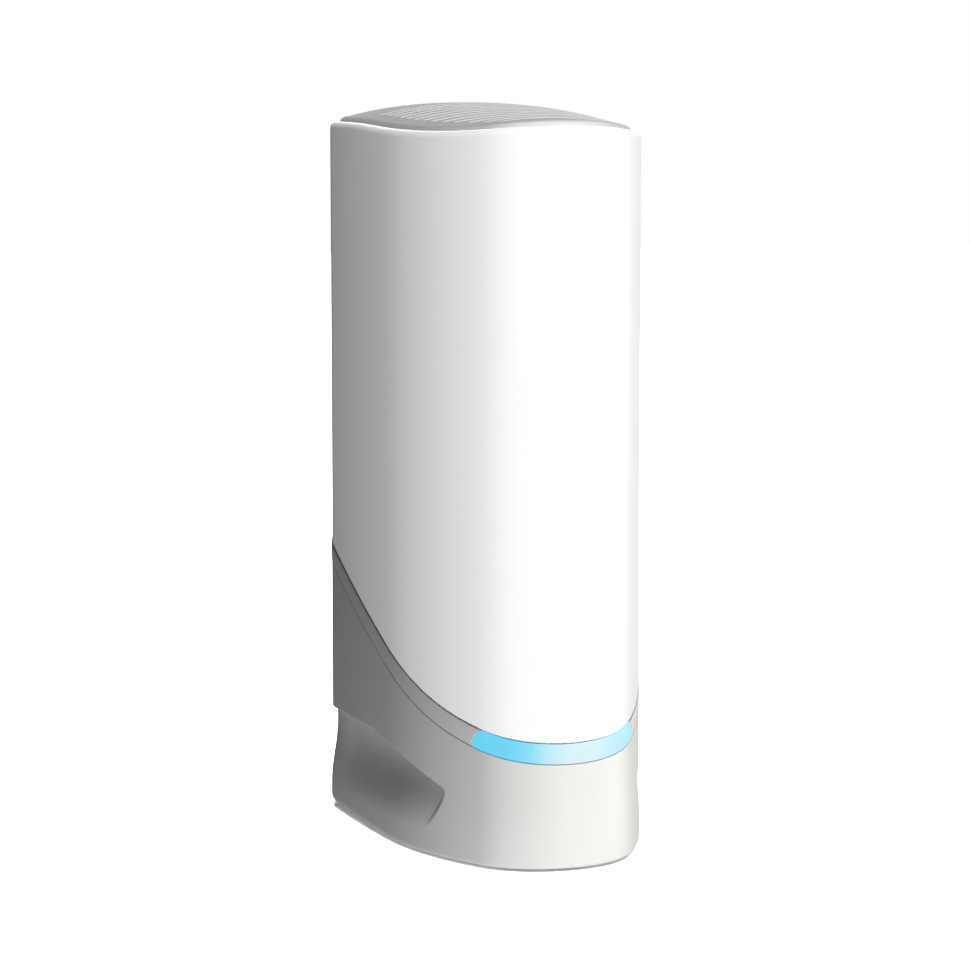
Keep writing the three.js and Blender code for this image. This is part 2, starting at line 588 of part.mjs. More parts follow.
const COAX_TIP_Y = 57.9;
add(connectors, "coax_connector", "nickel", turned([
  [0, 36], [6, 36], [6, 40], [4.7, 40], [4.7, COAX_TIP_Y - 0.5], [4.2, COAX_TIP_Y], [3.3, COAX_TIP_Y],
  [3.3, 44], [0, 44],
], { x: 0, z: PORT_Z.coax }));
add(connectors, "coax_insulator", "whitePart", turned([
  [0.6, 44.2], [3.1, 44.2], [3.1, COAX_TIP_Y - 1.2], [0.6, COAX_TIP_Y - 1.2], [0.6, 44.2],
], { x: 0, z: PORT_Z.coax }));
add(connectors, "coax_washer", "steel", turned([
  [4.95, BAY_FLOOR_Y + 0.1], [7.2, BAY_FLOOR_Y + 0.1], [7.2, BAY_FLOOR_Y + 0.8], [4.95, BAY_FLOOR_Y + 0.8],
  [4.95, BAY_FLOOR_Y + 0.1],
], { x: 0, z: PORT_Z.coax }));
const nutBlank = rod("y", [BAY_FLOOR_Y + 0.9, BAY_FLOOR_Y + 3.2], 6.35, { z: PORT_Z.coax }, 6);
add(connectors, "coax_nut", "nickel", cut(nutBlank, rod("y", [40, 60], 4.95, { z: PORT_Z.coax }, 24)));

const powerBody = join(
  box([BOARD_X + SOLDER, 5], [34.4, 46.3], [PORT_Z.power - 4.6, PORT_Z.power + 4.6]),
  rod("y", [46, 49], 3.9, { z: PORT_Z.power }, 24));
add(connectors, "power_jack", "chip", cut(powerBody, rod("y", [37, 60], 2.8, { z: PORT_Z.power }, 20)));
add(connectors, "power_pin", "nickel", rod("y", [37.1, 48], 1, { z: PORT_Z.power }, 12));

const RESET_AT = { x: -2.9, z: PORT_Z.reset };
const switchZ = [PORT_Z.reset - 3, PORT_Z.reset + 3];
add(electronics, "reset_switch", "chip", box([BOARD_X + SOLDER, -0.5], [31, 36], switchZ));
add(connectors, "reset_button", "tealPlastic", join(
  rod("y", [36.8, 48], 1.25, RESET_AT, 16), rod("y", [44.6, 45.8], 2.3, RESET_AT, 16)));

export default modem;
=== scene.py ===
"""An upright cable modem on a pale studio floor, around its CAD frame. Lengths are in millimetres until
a mesh is made, but the distances and sizes of the lights, the camera and the floor are in metres. The
object's frame is the CAD's: +Z up, front towards -Y."""
import json
from math import asin, cos, degrees, pi, radians, sin

import bmesh
import bpy
import numpy as np
from mathutils import Matrix, Vector

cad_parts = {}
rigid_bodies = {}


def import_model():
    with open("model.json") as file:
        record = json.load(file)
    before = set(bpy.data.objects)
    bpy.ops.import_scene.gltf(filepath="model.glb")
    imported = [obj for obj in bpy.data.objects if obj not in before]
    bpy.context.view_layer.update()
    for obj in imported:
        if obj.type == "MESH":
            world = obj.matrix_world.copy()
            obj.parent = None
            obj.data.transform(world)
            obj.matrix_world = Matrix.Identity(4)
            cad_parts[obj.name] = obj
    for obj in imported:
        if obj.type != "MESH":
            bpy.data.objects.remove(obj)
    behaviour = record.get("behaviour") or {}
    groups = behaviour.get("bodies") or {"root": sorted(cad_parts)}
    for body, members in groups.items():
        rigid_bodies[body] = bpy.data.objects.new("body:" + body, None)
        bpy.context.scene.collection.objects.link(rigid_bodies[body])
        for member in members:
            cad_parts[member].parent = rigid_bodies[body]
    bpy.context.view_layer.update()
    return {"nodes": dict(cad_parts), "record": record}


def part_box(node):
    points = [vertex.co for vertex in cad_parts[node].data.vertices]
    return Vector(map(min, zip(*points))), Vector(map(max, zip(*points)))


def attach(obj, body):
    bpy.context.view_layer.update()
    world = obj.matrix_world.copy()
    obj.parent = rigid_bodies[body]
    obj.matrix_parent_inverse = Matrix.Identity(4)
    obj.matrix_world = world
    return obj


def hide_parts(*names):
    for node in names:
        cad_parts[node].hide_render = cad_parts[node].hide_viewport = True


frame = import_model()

MM = 0.001
HOUSING = "housing"

# ------------------------------------------------------------------ driving dimensions
# Half of the footprint, front centre to back: (outward normal's turn at the arc's end, radius).
FOOTPRINT_ARCS = [(21, 30), (57, 24.5), (83.5, 96), (88, 600), (171, 14)]
BACK_BREAKS = (26, 25.7, 16, 15)  # columns at these places, for straight edges in the back
SKIN = 0.06  # the visible skins lie this far inside the CAD's
SEAM = 0.15  # half of the gap between moulded parts
WALL = 2

SLEEVE_INSET = 0.55
BAND_INSET = 0.25
SWOOSH_FRONT_Z = 35.6
SWOOSH_SLOPE = 0.25  # ahead of the bend; behind it, nearly twice as steep
SWOOSH_BEND_AT = 25
SWOOSH_BEND_LENGTH = 15
BAND_WIDTH = 5.8
LIGHT_HALF_ARC = 28.2
LIGHT_END_ROUNDING = 0.7  # how far the strip's corners draw in
LIGHT_LEAN = 3.2  # the strip's ends draw in by this much from its lower to its upper edge
RIM_FRONT_Z = 204.9
RIM_DIP = 1.6
RIM_DIP_LENGTH = 85
SHOULDER_RADIUS = 2
LAND_INSET = 3
WINDOW_HALF_WIDTH = 26
WINDOW_TOP = 194.3

VENT_INSET = 3.3
VENT_BORDER = 2.6
VENT_BORDER_RISE = 1.6
VENT_BORDER_INSETS = (8.6, 7.9, 7.2, 6.5, 5.9, 5.4, 4.9, 4.4, 4.0, 3.7, 3.5, 3.36, VENT_INSET)
VENT_FIELD_INSET = 9.2
VENT_SKIN = 1.9
CREST_FRONT_Z = 206.3
CREST_Z = 211.6
VENT_SPINE = (-30, 38)
VENT_SLOTS = 13
VENT_SLOTS_Y = (-42.8, 21.4)
VENT_SLOT_WIDTH = 2.5
VENT_TIP_HALF_WIDTH = 5  # where the crown is narrower than this, it has no rows of its own

FOOT_Z = 0.5
FOOT_ROUNDING = (1.0, 3.2)  # of the base's lower edge, at the front and at the back
COVE_FLOOR_Z = 8
COVE_EDGE_Z = 30.4
COVE_TIP = 23.4  # behind the front
COVE_BACK = 97
COVE_DROP_FROM = 24.8  # behind the front, where the upper edge is COVE_DROP lower than at the back
COVE_DROP_LENGTH = 45.2  # from there to where it is level
COVE_DROP = 9.9
COVE_WALL_X = (26.8, 38.6)  # at the tip and at the back
CORNER_INSET = 1.5

BAY_HALF_WIDTH = 16
BAY_FLOOR_Y = 48.5
BAY_TOP_Z = 129
COVER_Z = (31.3, 194)
COVER_HALF_WIDTH = 25.75
REAR_SLOTS = 9
REAR_SLOTS_Z = 147
REAR_SLOT_PITCH = 4.6
REAR_SLOT_WIDTH = 1.8
REAR_SLOT_HALF_LENGTH = 15

PORT_Z = {"power": 45, "coax": 64.5, "ethernet_1": 85, "ethernet_2": 104, "reset": 120.5}
RESET_X = -2.9
FACING_BACK = ((-1, 0, 0), (0, 0, 1))  # a plate's across and up, seen from behind


def lerp(a, b, t):
    """From a to b, where t is 0 to 1."""
    return a + (b - a) * t


def smooth(value, low, high):
    """0 up to low, 1 from high on, eased between them."""
    t = np.clip((value - low) / (high - low), 0, 1)
    return t * t * (3 - 2 * t)


# ------------------------------------------------------------------ footprint
def footprint_half(step, turn=3.0):
    """The right half of the footprint from the front centre to the back: rows of x, y, nx, ny."""
    reach = 0
    turned = 0
    for until, radius in FOOTPRINT_ARCS:
        reach += radius * (sin(radians(until)) - sin(radians(turned)))
        turned = until
    back_radius = reach / sin(radians(turned))
    arcs = list(FOOTPRINT_ARCS)
    arcs += [(180 - degrees(asin(place / back_radius)), back_radius) for place in BACK_BREAKS]
    arcs.append((180, back_radius))
    rows = []
    x = y = turned = 0
    for until, radius in arcs:
        length = radius * radians(until - turned)
        steps = int(max(length / step, (until - turned) / turn)) + 1
        for i in range(steps):
            a = radians(lerp(turned, until, i / steps))
            b = radians(lerp(turned, until, (i + 1) / steps))
            rows.append((x, y, sin(a), -cos(a)))
            chord = 2 * radius * sin((b - a) / 2)
            x += chord * cos((a + b) / 2)
            y += chord * sin((a + b) / 2)
        turned = until
    rows.append((0, y, 0, 1))
    half = np.array(rows)
    half[:, 1] -= y / 2
    return half


def footprint(step):
    """The closed loop: the right half, then its mirror image back to the front."""
    half = footprint_half(step)
    return np.vstack([half, half[-2:0:-1] * (-1, 1, -1, 1)])


COARSE = footprint(1.2)
FINE = footprint(0.6)
FRONT_Y = COARSE[0, 1]


def behind_front(y):
    return y - FRONT_Y


def swoosh_z(y):
    """The sleeve's lower edge: a gentle slope, a soft bend and a steeper slope."""
    t = behind_front(y)
    bend = np.hypot(t - SWOOSH_BEND_AT, SWOOSH_BEND_LENGTH) - np.hypot(SWOOSH_BEND_AT, SWOOSH_BEND_LENGTH)
    return SWOOSH_FRONT_Z + SWOOSH_SLOPE * t + SWOOSH_SLOPE / 2 * (t + bend)


def band_z(y):
    """The trim band's lower edge."""
    return swoosh_z(y) - BAND_WIDTH


def rim_z(y):
    """The sleeve's rim: a dip behind the front, and 1 mm higher at the back."""
    t = behind_front(y)
    u = np.clip(t / RIM_DIP_LENGTH, 0, 1)
    dip = 27 / 4 * u * (1 - u) ** 2  # 1 at its deepest
    return RIM_FRONT_Z - RIM_DIP * dip + smooth(t, 50, 105)


def ring(loop, offset, z):
    """The loop moved outwards by offset at height z; both may be one number or one for each column."""
    x = loop[:, 0] + loop[:, 2] * offset
    y = loop[:, 1] + loop[:, 3] * offset
    return np.stack([x, y, np.broadcast_to(z, x.shape)], axis=1)


# ------------------------------------------------------------------ meshes
def bare_object(name, vertices, faces):
    mesh = bpy.data.meshes.new(name)
    mesh.from_pydata((np.asarray(vertices, float) * MM).tolist(), [], faces)
    mesh.polygons.foreach_set("use_smooth", [True] * len(mesh.polygons))
    mesh.update()
    obj = bpy.data.objects.new(name, mesh)
    bpy.context.scene.collection.objects.link(obj)
    return obj


def grid(rows, closed=True, keep=None):
    """Vertices and quads between rows of points. keep(row, column) leaves a cell out when false."""
    count = len(rows[0])
    faces = []
    for r in range(len(rows) - 1):
        for c in range(count if closed else count - 1):
            if keep is None or keep(r, c):
                d = (c + 1) % count
                faces.append((r * count + c, r * count + d, (r + 1) * count + d, (r + 1) * count + c))
    return np.vstack(rows), faces


def tidy_mesh(obj, merge=0.005):
    """Merges doubled points and drops what has no area or no face."""
    work = bmesh.new()
    work.from_mesh(obj.data)
    bmesh.ops.remove_doubles(work, verts=work.verts, dist=merge * MM)
    bmesh.ops.dissolve_degenerate(work, edges=work.edges, dist=merge * MM)
    loose = [v for v in work.verts if not v.link_faces]
    bmesh.ops.delete(work, geom=loose, context="VERTS")
    work.to_mesh(obj.data)
    work.free()


def applied(obj):
    """Applies obj's modifiers, so that pieces can be joined."""
    depsgraph = bpy.context.evaluated_depsgraph_get()
    mesh = bpy.data.meshes.new_from_object(obj.evaluated_get(depsgraph))
    obj.modifiers.clear()
    obj.data = mesh
    return obj


def joined(name, parts):
    """One object of several, keeping each part's materials."""
    work = bmesh.new()
    slots = []
    for part in parts:
        applied(part)
        start = len(work.faces)
        work.from_mesh(part.data)
        work.faces.ensure_lookup_table()
        base = len(slots)
        slots += list(part.data.materials)
        for face in work.faces[start:]:
            face.material_index += base
    mesh = bpy.data.meshes.new(name)
    work.to_mesh(mesh)
    work.free()
    for slot in slots:
        mesh.materials.append(slot)
    for part in parts:
        bpy.data.objects.remove(part)
    obj = bpy.data.objects.new(name, mesh)
    bpy.context.scene.collection.objects.link(obj)
    return obj


def thicken(obj, thickness):
    """Gives a sheet a wall, on its inner side."""
    modifier = obj.modifiers.new("wall", "SOLIDIFY")
    modifier.thickness = thickness * MM
    modifier.offset = -1
    modifier.use_even_offset = False


def soften(obj, width, angle=35, segments=2):
    """Rounds the sharp edges and keeps the faces between them clean."""
    bevel = obj.modifiers.new("edges", "BEVEL")
    bevel.width = width * MM
    bevel.segments = segments
    bevel.limit_method = "ANGLE"
    bevel.angle_limit = radians(angle)
    bevel.use_clamp_overlap = True
    normals = obj.modifiers.new("normals", "WEIGHTED_NORMAL")
    normals.keep_sharp = False
    normals.weight = 80


def turned(name, profile, centre, direction=(0, 1, 0), sides=64):
    """A turned piece: profile of (radius, distance along direction) from centre, closed on itself."""
    angles = np.linspace(0, 2 * pi, sides, endpoint=False)
    rows = [np.stack([r * np.cos(angles), r * np.sin(angles), np.full(sides, l)], axis=1) for r, l in profile]
    rows.append(rows[0])
    obj = bare_object(name, *grid(rows))
    tidy_mesh(obj)
    turn = Vector((0, 0, 1)).rotation_difference(Vector(direction)).to_matrix().to_4x4()
    obj.data.transform(Matrix.Translation(Vector(centre) * MM) @ turn)
    work = bmesh.new()
    work.from_mesh(obj.data)
    bmesh.ops.recalc_face_normals(work, faces=work.faces)
    work.to_mesh(obj.data)
    work.free()
    return obj


def plate(name, outlines, origin, across, up, depth, edge=0.15):
    """A flat plate: the first outline is its edge and the others are holes. Points are (across, up) from
    origin, and the plate goes back from there by depth, away from across x up."""
    curve = bpy.data.curves.new(name, "CURVE")
    curve.dimensions = "2D"
    curve.fill_mode = "BOTH"
    curve.extrude = (depth / 2 - edge) * MM
    curve.bevel_depth = edge * MM
    curve.bevel_resolution = 1
    curve.offset = -edge * MM
    for outline in outlines:
        spline = curve.splines.new("POLY")
        spline.points.add(len(outline) - 1)
        for point, (a, b) in zip(spline.points, outline):
            point.co = (a * MM, b * MM, 0, 1)
        spline.use_cyclic_u = True
    maker = bpy.data.objects.new(name, curve)
    bpy.context.scene.collection.objects.link(maker)
    depsgraph = bpy.context.evaluated_depsgraph_get()
    mesh = bpy.data.meshes.new_from_object(maker.evaluated_get(depsgraph))
    bpy.data.objects.remove(maker)
    across, up = Vector(across), Vector(up)
    out = across.cross(up)
    place = Matrix((across, up, out)).transposed().to_4x4()
    place.translation = Vector(origin) * MM - out * depth / 2 * MM
    mesh.transform(place)
    obj = bpy.data.objects.new(name, mesh)
    bpy.context.scene.collection.objects.link(obj)
    return obj


def rectangle(a0, a1, b0, b1, radius=0.0, steps=4):
    """A rectangle with rounded corners, counterclockwise."""
    if radius == 0:
        return [(a0, b0), (a1, b0), (a1, b1), (a0, b1)]
    points = []
    corners = [(a1, b0, -90), (a1, b1, 0), (a0, b1, 90), (a0, b0, 180)]
    for a, b, start in corners:
        centre_a = a - radius if a == a1 else a + radius
        centre_b = b - radius if b == b1 else b + radius
        for i in range(steps + 1):
            angle = radians(start + 90 * i / steps)
            points.append((centre_a + radius * cos(angle), centre_b + radius * sin(angle)))
    return points


def circle(a, b, radius, sides=40):
    angles = [2 * pi * i / sides for i in range(sides)]
    return [(a + radius * cos(angle), b + radius * sin(angle)) for angle in angles]


# ------------------------------------------------------------------ materials
class Nodes:
    """A material's node tree, with short ways to add to it."""

    def __init__(self, name):
        self.material = bpy.data.materials.new(name)
        self.material.use_nodes = True
        self.tree = self.material.node_tree
        self.shader = self.tree.nodes["Principled BSDF"]
        self.place = self.add("ShaderNodeTexCoord").outputs["Object"]

    def add(self, kind, **settings):
        node = self.tree.nodes.new(kind)
        for key, value in settings.items():
            setattr(node, key, value)
        return node

    def link(self, output, target):
        self.tree.links.new(output, target)

    def noise(self, scale, detail=3.0, roughness=0.5, place=None):
        node = self.add("ShaderNodeTexNoise")
        node.inputs["Scale"].default_value = scale
        node.inputs["Detail"].default_value = detail
        node.inputs["Roughness"].default_value = roughness
        self.link(place or self.place, node.inputs["Vector"])
        return node.outputs["Fac"]

    def between(self, factor, low, high):
        """factor 0..1 spread over low..high."""
        node = self.add("ShaderNodeMapRange")
        self.link(factor, node.inputs["Value"])
        node.inputs["To Min"].default_value = low
        node.inputs["To Max"].default_value = high
        return node.outputs["Result"]

    def ramp(self, factor, *stops):
        node = self.add("ShaderNodeValToRGB")
        self.link(factor, node.inputs["Fac"])
        elements = node.color_ramp.elements
        while len(elements) < len(stops):
            elements.new(0.5)
        for element, (position, colour) in zip(elements, stops):
            element.position = position
            element.color = (*colour, 1)
        return node.outputs["Color"]

    def axis(self, name):
        node = self.add("ShaderNodeSeparateXYZ")
        self.link(self.place, node.inputs["Vector"])
        return node.outputs[name]

    def bump(self, height, distance, strength=1.0):
        """distance is in millimetres."""
        node = self.add("ShaderNodeBump")
        self.link(height, node.inputs["Height"])
        node.inputs["Distance"].default_value = distance * MM
        node.inputs["Strength"].default_value = strength
        self.link(node.outputs["Normal"], self.shader.inputs["Normal"])

    def set(self, **values):
        for key, value in values.items():
            self.shader.inputs[key.replace("_", " ")].default_value = value


def tone(colour, factor):
    return tuple(min(c * factor, 1) for c in colour)


def moulded(name, colour, roughness, grain_mm=0.35, grain_depth=0.012, specular=0.5, variation=0.02):
    """Moulded plastic: a fine spark-eroded grain, slightly uneven tone and gloss."""
    n = Nodes(name)
    cloud = n.noise(18, 4)
    n.link(n.ramp(cloud, (0.3, tone(colour, 1 - variation)), (0.7, tone(colour, 1 + variation))),
           n.shader.inputs["Base Color"])
    n.link(n.between(n.noise(60, 3), roughness - 0.05, roughness + 0.05), n.shader.inputs["Roughness"])
    n.bump(n.noise(1 / (grain_mm * MM), 2, 0.6), grain_depth, 0.6)
    n.set(Specular_IOR_Level=specular)
    return n.material


def metal(name, colour, roughness, streak_mm=None, spots=0.03):
    """Plated or extruded metal: slightly clouded, with fine drawing lines where streak_mm is given."""
    n = Nodes(name)
    cloud = n.noise(120, 4)
    n.link(n.ramp(cloud, (0.3, tone(colour, 1 - spots)), (0.7, tone(colour, 1 + spots))),
           n.shader.inputs["Base Color"])
    n.link(n.between(n.noise(400, 3), roughness - 0.08, roughness + 0.08), n.shader.inputs["Roughness"])
    n.set(Metallic=1.0)
    if streak_mm:
        stretch = n.add("ShaderNodeMapping")
        stretch.inputs["Scale"].default_value = (1, 1, 0.04)
        n.link(n.place, stretch.inputs["Vector"])
        n.bump(n.noise(1 / (streak_mm * MM), 2, 0.5, stretch.outputs["Vector"]), 0.01, 0.5)
    else:
        n.bump(n.noise(900, 2), 0.005, 0.4)
    return n.material


def circuit_board(name):
    """Green solder mask over copper: pours and tracks show as slightly lighter, raised shapes."""
    n = Nodes(name)
    tracks = n.add("ShaderNodeTexVoronoi", feature="DISTANCE_TO_EDGE", distance="MANHATTAN")
    tracks.inputs["Scale"].default_value = 190
    n.link(n.place, tracks.inputs["Vector"])
    edge = n.ramp(tracks.outputs["Distance"], (0.03, (1, 1, 1)), (0.06, (0, 0, 0)))
    mix = n.add("ShaderNodeMix", data_type="RGBA")
    n.link(edge, mix.inputs["Factor"])
    mix.inputs["A"].default_value = (0.012, 0.075, 0.035, 1)
    mix.inputs["B"].default_value = (0.03, 0.16, 0.07, 1)
    n.link(mix.outputs["Result"], n.shader.inputs["Base Color"])
    n.link(n.between(n.noise(200), 0.3, 0.42), n.shader.inputs["Roughness"])
    n.bump(edge, 0.03, 0.5)
    return n.material


def rubber(name):
    n = Nodes(name)
    n.link(n.ramp(n.noise(300, 4), (0.3, (0.025, 0.025, 0.026)), (0.7, (0.05, 0.05, 0.05))),
           n.shader.inputs["Base Color"])
    n.link(n.between(n.noise(500), 0.75, 0.92), n.shader.inputs["Roughness"])
    n.bump(n.noise(2500, 3), 0.03, 0.7)
    return n.material


def lit_lens(name):
    """The front light: frosted, brightest right of centre, deeper blue where it turns to the left."""
    n = Nodes(name)
    along = n.add("ShaderNodeMapRange")
    n.link(n.axis("X"), along.inputs["Value"])
    along.inputs["From Min"].default_value = -25 * MM
    along.inputs["From Max"].default_value = 25 * MM
    glow = n.ramp(
        along.outputs["Result"],
        (0.05, (0.13, 0.64, 0.92)), (0.20, (0.14, 0.65, 0.92)), (0.30, (0.26, 0.74, 0.94)),
        (0.40, (0.54, 0.84, 0.96)), (0.52, (0.71, 0.90, 0.97)), (0.66, (0.70, 0.90, 0.97)),
        (0.80, (0.50, 0.85, 0.96)), (1.0, (0.45, 0.79, 0.95)))
    n.link(glow, n.shader.inputs["Emission Color"])
    n.link(n.between(n.noise(250, 2), 0.92, 0.98), n.shader.inputs["Emission Strength"])
    n.link(n.ramp(n.noise(250, 2), (0.3, (0.02, 0.03, 0.03)), (0.7, (0.03, 0.04, 0.04))),
           n.shader.inputs["Base Color"])
    n.link(n.between(n.noise(700, 2), 0.45, 0.55), n.shader.inputs["Roughness"])
    n.bump(n.noise(1500, 2), 0.01, 0.4)
    n.set(Specular_IOR_Level=0.15)
    return n.material


def clear_acrylic(name):
    n = Nodes(name)
    n.link(n.ramp(n.noise(40), (0.3, (0.86, 0.94, 0.96)), (0.7, (0.93, 0.98, 1.0))),
           n.shader.inputs["Base Color"])
    n.link(n.between(n.noise(300), 0.08, 0.16), n.shader.inputs["Roughness"])
    n.set(Transmission_Weight=0.8, IOR=1.49)
    return n.material


def coated_paper(name):
    n = Nodes(name)
    n.link(n.ramp(n.noise(500, 4), (0.3, (0.80, 0.80, 0.79)), (0.7, (0.86, 0.86, 0.85))),
           n.shader.inputs["Base Color"])
    n.link(n.between(n.noise(900), 0.45, 0.6), n.shader.inputs["Roughness"])
    n.bump(n.noise(4000, 2), 0.008, 0.5)
    return n.material


LOOKS = {
    "white_plastic": moulded(
        "white_plastic_moulded", (0.83, 0.83, 0.82), 0.50, specular=0.35, variation=0.006),
    "grey_plastic": moulded(
        "grey_plastic_moulded", (0.46, 0.451, 0.434), 0.48, specular=0.35, variation=0.01),
    "vent_plastic": moulded(
        "vent_plastic_moulded", (0.46, 0.467, 0.465), 0.46, specular=0.4, variation=0.012),
    "lit_lens": lit_lens("lit_lens_frosted"),
    "clear_acrylic": clear_acrylic("clear_acrylic_polished"),
    "rubber": rubber("rubber_moulded"),
    "steel": metal("steel_zinc_plated", (0.60, 0.61, 0.62), 0.35),
    "circuit_board": circuit_board("circuit_board_mask"),
    "frame_plastic": moulded("frame_plastic_moulded", (0.10, 0.105, 0.11), 0.55, grain_mm=0.6),
    "black_plastic": moulded("black_plastic_moulded", (0.018, 0.018, 0.02), 0.42, grain_mm=0.3),
    "lamp_white": moulded("lamp_white_moulded", (0.78, 0.78, 0.76), 0.35),
    "pad_grey": moulded("pad_grey_silicone", (0.30, 0.33, 0.37), 0.8, grain_mm=0.8, grain_depth=0.03),
    "label_paper": coated_paper("label_paper_coated"),
    "nickel": metal("nickel_plated", (0.70, 0.69, 0.66), 0.24),
    "gold": metal("gold_plated", (0.83, 0.60, 0.25), 0.22),
    "aluminium": metal("aluminium_extruded", (0.76, 0.77, 0.79), 0.38, streak_mm=0.25),
    "button_plastic": moulded("button_plastic_moulded", (0.02, 0.20, 0.33), 0.4),
}


def paint(obj, slot):
    obj.data.materials.clear()
    obj.data.materials.append(LOOKS[slot])


def settle(obj, slot, *nodes, body=HOUSING):
    """obj takes a slot's look, rides on a body and stands for CAD nodes."""
    paint(obj, slot)
    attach(obj, body)
    if nodes:
        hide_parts(*nodes)


# ------------------------------------------------------------------ white sleeve
def on_back(loop, c, half_width):
    """True where the cell after column c lies within half_width of the middle of the back."""
    d = (c + 1) % len(loop)
    middle = (loop[c] + loop[d]) / 2
    return middle[3] > 0.9 and abs(middle[0]) < half_width


def sleeve():
    """The white shell, up over its shoulder to the land round the vent, open at the back for the cover."""
    loop = COARSE
    y = loop[:, 1]
    inset = SLEEVE_INSET + SKIN
    wall_rows = 14
    rows = [ring(loop, -inset, lerp(swoosh_z(y) + SEAM, WINDOW_TOP, k / wall_rows)) for k in range(wall_rows)]
    rim = rim_z(y)
    for k in range(3):
        rows.append(ring(loop, -inset, lerp(WINDOW_TOP, rim - SHOULDER_RADIUS, k / 2)))
    for angle in range(10, 91, 10):
        drawn_in = SHOULDER_RADIUS * (1 - cos(radians(angle)))
        rows.append(ring(loop, -inset - drawn_in, rim - SHOULDER_RADIUS * (1 - sin(radians(angle)))))
    rows.append(ring(loop, -LAND_INSET, rim - 0.02))

    def keep(r, c):
        return r >= wall_rows or not on_back(loop, c, WINDOW_HALF_WIDTH)

    obj = bare_object("sleeve_shell", *grid(rows, keep=keep))
    tidy_mesh(obj)
    thicken(obj, WALL - 0.1)
    soften(obj, 0.3)
    settle(obj, "white_plastic", "front_shell")


# ------------------------------------------------------------------ trim band and light
def band_strip(name, start, end, crown, thickness):
    """A strip of the band's width between two places along the footprint, measured from the front centre.
    start and end give the place for each share of the way up, and the face is slightly crowned."""
    half = footprint_half(0.5)
    whole = np.vstack([half[:0:-1] * (-1, 1, -1, 1), half])
    steps = np.linalg.norm(np.diff(whole[:, :2], axis=0), axis=1)
    along = np.concatenate([[0], np.cumsum(steps)])
    along -= along[len(half) - 1]
    count = int(abs(end(0) - start(0)) / 0.5) + 2
    across = 8
    rows = []
    for k in range(across + 1):
        v = k / across
        places = np.linspace(start(v), end(v), count)
        cut = np.stack([np.interp(places, along, whole[:, i]) for i in range(4)], axis=1)
        low = band_z(cut[:, 1]) + SEAM
        high = swoosh_z(cut[:, 1]) - SEAM
        offset = -BAND_INSET - SKIN - crown * (2 * v - 1) ** 2
        rows.append(ring(cut, offset, lerp(low, high, v)))
    obj = bare_object(name, *grid(rows, closed=False))
    thicken(obj, thickness)
    soften(obj, 0.07)
    return obj


def light_end(v):
    """The lit strip's end, for a share of the way up."""
    return LIGHT_HALF_ARC + LIGHT_LEAN * (0.5 - v) - LIGHT_END_ROUNDING * abs(2 * v - 1) ** 5


def arc_to_back_cover():
    """The length along the footprint from the front centre to the back cover's edge."""
    half = footprint_half(0.5)
    last = np.argmax((half[:, 3] > 0.9) & (half[:, 0] < WINDOW_HALF_WIDTH + 0.1))
    return np.linalg.norm(np.diff(half[:last + 1, :2], axis=0), axis=1).sum()


def trim_band():
    """The band in two halves, from the light round to the back cover."""
    back = arc_to_back_cover()
    sides = [
        band_strip("band_left", lambda v: -back, lambda v: -light_end(v) - SEAM, 0.1, WALL),
        band_strip("band_right", lambda v: light_end(v) + SEAM, lambda v: back, 0.1, WALL)]
    for side in sides:
        paint(side, "grey_plastic")
    settle(joined("trim_band_strip", sides), "grey_plastic", "trim_band")


def light_lens():
    lens = band_strip("light_strip", lambda v: -light_end(v), light_end, 0.12, 1.3)
    settle(lens, "lit_lens", "light_lens")


# ------------------------------------------------------------------ base
def cove_edge_z(t):
    """The recesses' upper edge: level from the back, then falling towards their tip."""
    u = np.clip((t - COVE_DROP_FROM) / COVE_DROP_LENGTH, -0.55, 1)
    return COVE_EDGE_Z - COVE_DROP * (1 - u) ** 1.6


def cove_front(z):
    """How far behind the front the recesses begin, at height z."""
    return COVE_TIP + 0.31 * np.maximum(18.6 - z, 0) ** 1.3


def base_wall(loop, z):
    """The base's outer face and the recess wall behind it, as two rows of points."""
    waist = -0.4 * smooth(z, COVE_FLOOR_Z, 28) - SKIN
    outer = ring(loop, waist, z)
    t = behind_front(loop[:, 1])
    drawn = smooth(z, COVE_FLOOR_Z - 1, 26)
    wall_x = lerp(*COVE_WALL_X, (t - COVE_TIP) / (COVE_BACK - COVE_TIP))
    corner = smooth(t, COVE_BACK - 12, COVE_BACK + 4)
    side_x = np.sign(outer[:, 0]) * np.minimum(np.abs(outer[:, 0]), wall_x)
    x = lerp(lerp(outer[:, 0], side_x, drawn), outer[:, 0] - loop[:, 2] * CORNER_INSET * drawn, corner)
    y = outer[:, 1] - loop[:, 3] * CORNER_INSET * drawn * corner
    inner = np.stack([x, y, np.broadcast_to(z, x.shape)], axis=1)
    return outer, inner


def recessed(loop, z, share=1.0, depth=None):
    """A row of the base's face at height z: share of the way into the recess. Or a depth in millimetres,
    measured from the outer face, or outwards from the recess's wall where it is negative."""
    outer, inner = base_wall(loop, z)
    t = behind_front(loop[:, 1])
    way = inner - outer
    full = np.linalg.norm(way, axis=1)
    if depth is not None:
        reach = full + depth if depth < 0 else np.full_like(full, depth)
        share = np.clip(reach / np.maximum(full, 1e-6), 0, 1)
    begins = smooth(t - cove_front(z), 0, 1.6)
    return outer + way * (share * begins)[:, None]


